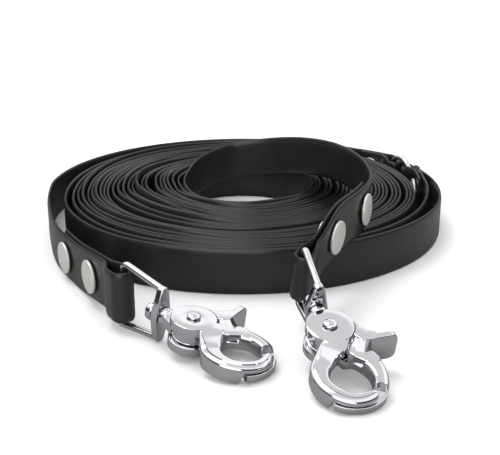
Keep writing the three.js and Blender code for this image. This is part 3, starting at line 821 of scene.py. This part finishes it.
PIVOT = 32.9
LOOP_LENGTH = 18.6
BASE_HALF_THICKNESS = 1.4
DISC_UNDERSIDE = 2.05
DISC_TOP = 5.4
DISC_RADIUS = 7.8
BOW_TOP = 2.6
BAR_HALF_LENGTH = 11.7
BASE_HALF_LENGTH = 9.3
WIRE_BEND = 2.2
STUD_BORE = 2.75
RIVET_BORE = 2.05
CLEARANCE = 8.15
# In metres, as the O-ring's is.
LOOP_WIRE_RADIUS = 0.00124
# Turns a piece made about local Z so that it stands about the hook's X.
Z_TO_X = Matrix(((0, 0, 1, 0), (0, 1, 0, 0), (-1, 0, 0, 0), (0, 0, 0, 1)))
# Jaws are shaped a thousand times larger at the origin, so that their joins are exact.
LARGE = Matrix.Scale(1 / MM, 4)


def loop_piece(prefix, m):
    bar_half, base_half, bend = BAR_HALF_LENGTH, BASE_HALF_LENGTH, WIRE_BEND
    points = [(LOOP_LENGTH, base_half)]
    for sign, first in ((1, 96), (-1, 180)):
        for k in range(13):
            a = math.radians(first + 84 * k / 12)
            points.append((bend + bend * math.cos(a), sign * (bar_half - bend) + bend * math.sin(a)))
    points.append((LOOP_LENGTH, -base_half))
    placed = [np.array(m @ Vector((x * MM, 0, z * MM))) for x, z in points]
    across = np.array(m.to_3x3().col[1])
    loop = swept("loop", wire_sections(placed, [across] * len(placed), LOOP_WIRE_RADIUS, 24))
    # The base is widest round its bore, and narrows towards the wire at each end.
    end_radius, middle_radius = 1.9, 3.9
    end = base_half + 1.35 - end_radius
    lean = math.asin((middle_radius - end_radius) / end)
    outline = []
    for middle, radius, first, last in (
            (end, end_radius, lean - math.pi / 2, math.pi / 2 - lean),
            (0, middle_radius, math.pi / 2 - lean, math.pi / 2 + lean),
            (-end, end_radius, math.pi / 2 + lean, 3 * math.pi / 2 - lean),
            (0, middle_radius, 3 * math.pi / 2 - lean, 3 * math.pi / 2 + lean)):
        for k in range(9):
            a = first + (last - first) * k / 8
            outline.append((middle + radius * math.cos(a), radius * math.sin(a)))
    stand = m @ Matrix.Translation((LOOP_LENGTH * MM, 0, 0)) @ Z_TO_X
    base = rounded_plate("base", outline, -BASE_HALF_THICKNESS, BASE_HALF_THICKNESS, 0.55, stand, 4)
    combine(loop, base)
    bore = turned("bore", [(0, -4), (STUD_BORE, -4), (STUD_BORE, 4), (0, 4)], stand, 40)
    combine(loop, bore, "DIFFERENCE")
    loop.name = prefix + "_loop_wire"
    finish_piece(loop, prefix + "_loop", "hook_chrome", CHROME, prefix + "_loop")


def stud_piece(prefix, m):
    inside, outside = LOOP_LENGTH - BASE_HALF_THICKNESS, LOOP_LENGTH + BASE_HALF_THICKNESS
    profile = [
        (0, inside - 3.6), (1.5, inside - 3.55), (2.7, inside - 3.3), (3.4, inside - 2.7),
        (3.6, inside - 2), (3.6, inside - 0.7), (3.4, inside - 0.4), (2.4, inside - 0.4),
        (2.4, outside + 0.4), (2.9, outside + 0.4), (3.2, outside + 0.65), (3.2, outside + 2.6),
        (3, outside + 3.1), (2.3, outside + 4.0), (0, outside + 4.0),
    ]
    turn = m @ Z_TO_X
    stud = turned("stud", profile, turn, 48)
    outline = [(outside + 1, -2.6), (PIVOT - 5, -5.0)]
    for k in range(31):
        a = math.radians(225 + 270 * k / 30)
        outline.append((PIVOT + 6.6 * math.cos(a), 6.6 * math.sin(a)))
    outline.append((outside + 1, 2.6))
    combine(stud, rounded_plate("tongue", outline, -1.7, 1.7, 0.3, m))
    pivot = m @ Matrix.Translation((PIVOT * MM, 0, 0))
    bore = turned("bore", [(0, -3), (RIVET_BORE, -3), (RIVET_BORE, 3), (0, 3)], pivot, 32)
    combine(stud, bore, "DIFFERENCE")
    pocket = turned("pocket", [(0, -3), (4.1, -3), (4.1, 0.9), (0, 0.9)], pivot, 40)
    combine(stud, pocket, "DIFFERENCE")
    stud.name = prefix + "_stud_body"
    finish_piece(stud, prefix + "_stud", "hook_chrome", CHROME, prefix + "_swivel_stud")


def rivet_piece(prefix, m):
    head, dome = 5.7, []
    for k in range(9):
        a = math.pi / 2 * k / 8
        dome.append((2.35 * math.cos(a) if k < 8 else 0, head + 0.1 + 0.95 * math.sin(a)))
    profile = [
        (0, -head - 0.75), (1.4, -head - 0.7), (2.3, -head - 0.5), (2.75, -head - 0.12), (2.7, -head),
        (1.7, -head), (1.7, head), (2.3, head),
    ] + dome
    pivot = m @ Matrix.Translation((PIVOT * MM, 0, 0))
    body = turned(prefix + "_rivet_body", profile, pivot, 48)
    finish_piece(body, prefix + "_stud", "hook_chrome", CHROME, prefix + "_pivot_rivet")


def jaw_disc(m):
    low, high, r = DISC_UNDERSIDE, DISC_TOP, DISC_RADIUS
    profile = [
        (RIVET_BORE, low), (r - 0.3, low), (r, low + 0.3), (r, high - 0.32), (r - 0.09, high - 0.1),
        (r - 0.32, high), (2.5, high), (2.2, high - 0.1), (RIVET_BORE, high - 0.3),
    ]
    return turned("disc", profile, m, 96)


def arm_section(half, low, high, top_bevel, bottom_bevel, scale=1.0):
    """A jaw's arm across: from its outer edge to the edge that faces the bow's opening."""
    rows = []
    for z, way, bevel in ((low, 1, bottom_bevel), (high, -1, top_bevel)):
        depth = (0.2 + 1.35 * bevel) * scale
        run = (0.22 + 1.6 * bevel) * scale
        land = (0.12 + 0.85 * bevel) * scale
        inner = [
            (half, z + way * land * 1.2), (half - 0.12 * land, z + way * 0.6 * land),
            (half - 0.5 * land, z + way * 0.18 * land), (half - 1.1 * land, z),
        ]
        outer = [
            (-half + run, z), (-half + run * 0.92, z + way * 0.2 * depth),
            (-half + run * 0.8, z + way * 0.24 * depth), (-half + run * 0.42, z + way * 0.36 * depth),
            (-half + run * 0.2, z + way * 0.52 * depth), (-half + run * 0.07, z + way * 0.74 * depth),
            (-half, z + way * depth),
        ]
        rows.append((inner, outer))
    (low_in, low_out), (high_in, high_out) = rows
    return low_out[::-1] + low_in[::-1] + high_in + high_out


def arm_piece(points, matrix, levels, round_tip=False):
    """An arm of varying width. levels(line, run) gives its low and high faces and their bevels."""
    line = spline(points, 8)
    tangent = unit(np.gradient(line[:, :2], axis=0))
    left = np.stack([-tangent[:, 1], tangent[:, 0]], -1)
    run = np.concatenate([[0], np.cumsum(np.linalg.norm(np.diff(line[:, :2], axis=0), axis=1))])
    low, high, top, bottom = levels(line, run)
    sections = [(line[i, :2], left[i], arm_section(line[i, 2] / 2, low[i], high[i], top[i], bottom[i]))
                for i in range(len(line))]
    if round_tip:
        for angle in (20, 40, 58, 72, 84):
            a = math.radians(angle)
            half = line[-1, 2] / 2
            shrink = max(math.cos(a), 0.12)
            middle = (low[-1] + high[-1]) / 2
            squeeze = 0.5 + 0.5 * shrink
            centre = line[-1, :2] + tangent[-1] * half * math.sin(a)
            tip_low = middle - (middle - low[-1]) * squeeze
            tip_high = middle + (high[-1] - middle) * squeeze
            section = arm_section(half * shrink, tip_low, tip_high, top[-1], bottom[-1], shrink)
            sections.append((centre, left[-1], section))
    placed = []
    for centre, across, section in sections:
        placed.append(np.array([
            matrix @ Vector(((centre[0] + across[0] * a) * MM, (centre[1] + across[1] * a) * MM, z * MM))
            for a, z in section]))
    return swept("arm", placed)


def jaw_levels(wall_from, wall_to, depth, top_bevel, bottom_bevel):
    def levels(line, run):
        reach = np.hypot(line[:, 0], line[:, 1])
        high = DISC_TOP - 0.01 + (BOW_TOP + 0.01 - DISC_TOP) * smooth(reach, 8.2, 14.5)
        low = DISC_UNDERSIDE + 0.01 + (0.15 - DISC_UNDERSIDE) * smooth(reach, 8.4, 13.8)
        start, end = (nearest_run(line, run, p) for p in (wall_from, wall_to))
        wall = smooth(run, start - 0.2, start + 0.9) * (1 - smooth(run, end - 0.12, end + 0.12))
        low = low + (-depth - low) * wall
        return low, high, top_bevel * smooth(reach, 8.0, 13.5), bottom_bevel * wall
    return levels


def nearest_run(line, run, point):
    return run[int(np.argmin(np.hypot(line[:, 0] - point[0], line[:, 1] - point[1])))]


UPPER_ARM = [
    (6.2, 0.2, 7.6), (8, -0.8, 7.4), (11, -4.2, 7.2), (14.4, -7.1, 6.2), (18.5, -8.1, 5.1),
    (22.8, -7.3, 4.5), (26.6, -4.3, 4.3), (28.6, -0.6, 4.2), (28.6, 2.8, 4), (28, 5, 3.6),
]
LOWER_ARM = [
    (4.9, -4.1, 7.2), (8.3, -6.6, 8.6), (12, -8.5, 7.2), (14.9, -9.8, 6.2), (18.9, -10.4, 5.1),
    (23.2, -9.6, 4.6), (26.8, -7.5, 4.5), (28.8, -3.8, 4.3), (29, 0, 4.2), (28.2, 3.2, 4.1),
    (26.7, 5.7, 4),
]
SHOULDER = [
    (5.5, -6.2), (6.9, -4.7), (10, -3.2), (10.6, -3.3), (12.2, -4.7), (15.1, -7.9), (15.6, -9.4),
    (14.9, -11.8), (13.6, -12.3), (10.4, -11.3), (7.4, -10.7), (6, -9.2),
]
LEVER_ROOT = [
    (0, -5), (5.6, -6.4), (7.4, -7.8), (8.15, -9.2), (7.9, -12.6), (4.5, -13.8), (4.1, -12.8),
    (3.2, -10.9), (1.4, -9.4), (-1, -8.4),
]
LEVER_RAMP = [
    (5.3, -6.9, -4.98), (7.3, -8.1, -4.98), (7.9, -9.2, -4.98), (7.6, -11, -4.98), (8.2, -4.7, -2.3),
    (10.4, -5.6, -2.3), (11.6, -7.8, -2.3), (10.8, -10.6, -2.3), (5.3, -6.9, -1), (8.2, -4.7, -1),
    (10.4, -5.6, -1), (11.6, -7.8, -1), (10.8, -10.6, -1), (7.6, -11, -1),
]
LEVER_HALF_HEIGHT = 5.1
LEVER_END = 20.8
LEVER_TILT = 4.4


def lever_pieces(pivot):
    """The thumb lever: a rounded plate on edge, and the block that joins it to the jaw."""
    root = rounded_plate("root", LEVER_ROOT, -LEVER_HALF_HEIGHT, LEVER_HALF_HEIGHT, 0.4, pivot)
    corner, near = 2.6, 8.4
    outline = []
    for x, y, first in ((LEVER_END - corner, corner - LEVER_HALF_HEIGHT, -90),
                        (LEVER_END - corner, LEVER_HALF_HEIGHT - corner, 0)):
        for k in range(11):
            a = math.radians(first + 9 * k)
            outline.append((x + corner * math.cos(a), y + corner * math.sin(a)))
    outline += [(near, LEVER_HALF_HEIGHT), (near, -LEVER_HALF_HEIGHT)]
    stand = Matrix(((0, 0, 1, 0.0), (-1, 0, 0, 0), (0, -1, 0, 0), (0, 0, 0, 1)))
    lean = Matrix.Translation((8.75 * MM, 0, 0)) @ Matrix.Rotation(math.radians(-LEVER_TILT), 4, "Z")
    plate = rounded_plate("plate", outline, -2.4, 0, 0.5, pivot @ lean @ stand, 4)
    combine(root, plate)
    combine(root, hull("ramp", LEVER_RAMP, pivot))
    return root


def upper_jaw():
    jaw = jaw_disc(LARGE)
    levels = jaw_levels(wall_from=(13.2, -6.3), wall_to=(25.3, -5.7), depth=3.8,
                        top_bevel=1, bottom_bevel=0.12)
    return combine(jaw, arm_piece(UPPER_ARM, LARGE, levels, round_tip=True))


def lower_jaw():
    outer = lever_pieces(LARGE)
    combine(outer, rounded_plate("shoulder", SHOULDER, -BOW_TOP, DISC_UNDERSIDE + 0.45, 0.4, LARGE))
    clearance = [(0, -9), (CLEARANCE, -9), (CLEARANCE, DISC_UNDERSIDE), (0, DISC_UNDERSIDE)]
    combine(outer, turned("clearance", clearance, LARGE, 96), "DIFFERENCE")
    jaw = jaw_disc(LARGE)
    levels = jaw_levels(wall_from=(13.6, -9.2), wall_to=(24.4, -9), depth=BOW_TOP,
                        top_bevel=0.12, bottom_bevel=1)
    combine(jaw, arm_piece(LOWER_ARM, LARGE, levels))
    return combine(jaw, outer)


def jaw_pieces(prefix, m):
    """Shapes each jaw at the origin, and then brings it to its size and place."""
    pivot = m @ Matrix.Translation((PIVOT * MM, 0, 0))
    for name, build, turn in (("upper_jaw", upper_jaw, 0), ("lower_jaw", lower_jaw, math.pi)):
        jaw = build()
        jaw.data.transform(pivot @ Matrix.Rotation(turn, 4, "X") @ Matrix.Scale(MM, 4))
        jaw.name = f"{prefix}_{name}_body"
        finish_piece(jaw, f"{prefix}_{name}", "hook_chrome", CHROME, f"{prefix}_{name}")


for prefix, matrix in HOOKS.items():
    loop_piece(prefix, matrix)
    stud_piece(prefix, matrix)
    rivet_piece(prefix, matrix)
    jaw_pieces(prefix, matrix)
    spring = frame["nodes"][prefix + "_jaw_spring"]
    spring.data.materials.clear()
    spring.data.materials.append(SPRING)


# ------------------------------------------------------------------ floor, lights and backdrop

EVEN_LIGHT = 0.98
CEILING = 1.25
BRIGHTER_BACK = 0.32
# What metal sees: (how high a direction points, its grey).
STUDIO_BANDS = [
    (0.0, 0.03), (0.18, 0.03), (0.38, 0.1), (0.5, 0.6), (0.63, 1.0), (0.84, 1.0), (0.94, 0.65),
    (1.0, 0.65),
]
FLOOR_HALF_SIZE = 6.0
FLOOR_BELOW = 0.0002
# Glossy rays see the floor in this darker grey: painted shade on the floor as it shows in the metal's and
# the webbing's reflections.
PAINTED_FLOOR_SHADE_IN_REFLECTIONS = (0.27, 0.27, 0.275, 1)


def floor():
    mesh = bpy.data.meshes.new("floor")
    size = FLOOR_HALF_SIZE
    corners = [(-size, -size, 0), (size, -size, 0), (size, size, 0), (-size, size, 0)]
    mesh.from_pydata(corners, [], [(0, 1, 2, 3)])
    piece = bpy.data.objects.new("floor", mesh)
    piece.location.z = CAD_LOW.z - FLOOR_BELOW
    n = Nodes("floor")
    speckle = n.noise(n.position(), 60, 2)
    pale = n.ramp(speckle, [(0.3, (0.9, 0.9, 0.9)), (0.7, (0.92, 0.92, 0.92))])
    # Glossy rays see the floor painted darker than camera rays do: painted shade in reflections of the
    # floor.
    painted_shade_in_reflections = n.add("ShaderNodeMix", data_type="RGBA")
    path = n.add("ShaderNodeLightPath")
    n.link(path.outputs["Is Glossy Ray"], painted_shade_in_reflections.inputs[0])
    n.link(pale, painted_shade_in_reflections.inputs[6])
    painted_shade_in_reflections.inputs[7].default_value = PAINTED_FLOOR_SHADE_IN_REFLECTIONS
    n.set(Base_Color=painted_shade_in_reflections.outputs[2], Roughness=0.85, Specular_IOR_Level=0.1)
    piece.data.materials.append(n.material)
    scene.collection.objects.link(piece)


def world():
    """Even white light, which glossy surfaces see as grey bands that are darkest near the floor."""
    sky = bpy.data.worlds.new("studio")
    scene.world = sky
    sky.use_nodes = True
    tree = sky.node_tree
    even = tree.nodes["Background"]
    even.inputs["Color"].default_value = (1.0, 1.0, 1.0, 1.0)
    even.inputs["Strength"].default_value = EVEN_LIGHT
    seen = tree.nodes.new("ShaderNodeBackground")
    direction = tree.nodes.new("ShaderNodeTexCoord")
    split = tree.nodes.new("ShaderNodeSeparateXYZ")
    ramp = tree.nodes.new("ShaderNodeValToRGB")
    tree.links.new(direction.outputs["Generated"], split.inputs[0])
    lean = tree.nodes.new("ShaderNodeMath")
    lean.operation = "MULTIPLY_ADD"
    lean.inputs[1].default_value = BRIGHTER_BACK
    tree.links.new(split.outputs["Y"], lean.inputs[0])
    tree.links.new(split.outputs["Z"], lean.inputs[2])
    tree.links.new(lean.outputs[0], ramp.inputs["Fac"])
    tree.links.new(ramp.outputs["Color"], seen.inputs["Color"])
    seen.inputs["Strength"].default_value = CEILING
    elements = ramp.color_ramp.elements
    while len(elements) < len(STUDIO_BANDS):
        elements.new(0.5)
    for element, (height, grey) in zip(elements, STUDIO_BANDS):
        element.position = height
        element.color = (grey, grey, grey * 1.01, 1)
    path = tree.nodes.new("ShaderNodeLightPath")
    mix = tree.nodes.new("ShaderNodeMixShader")
    tree.links.new(path.outputs["Is Glossy Ray"], mix.inputs[0])
    tree.links.new(even.outputs[0], mix.inputs[1])
    tree.links.new(seen.outputs[0], mix.inputs[2])
    tree.links.new(mix.outputs[0], tree.nodes["World Output"].inputs["Surface"])


def sun(name, towards, strength, spread):
    data = bpy.data.lights.new(name, "SUN")
    data.energy = strength
    data.angle = math.radians(spread)
    light = bpy.data.objects.new(name, data)
    light.rotation_euler = Vector(towards).to_track_quat("-Z", "Y").to_euler()
    scene.collection.objects.link(light)


floor()
world()
sun("key", (0.3, -0.25, -1.0), 1.0, 30)
sun("fill", (0.3, 1.0, -0.3), 1.6, 60)

scene.view_settings.view_transform = "Standard"
scene.view_settings.look = "None"
scene.view_settings.exposure = 0.0

bpy.context.view_layer.update()
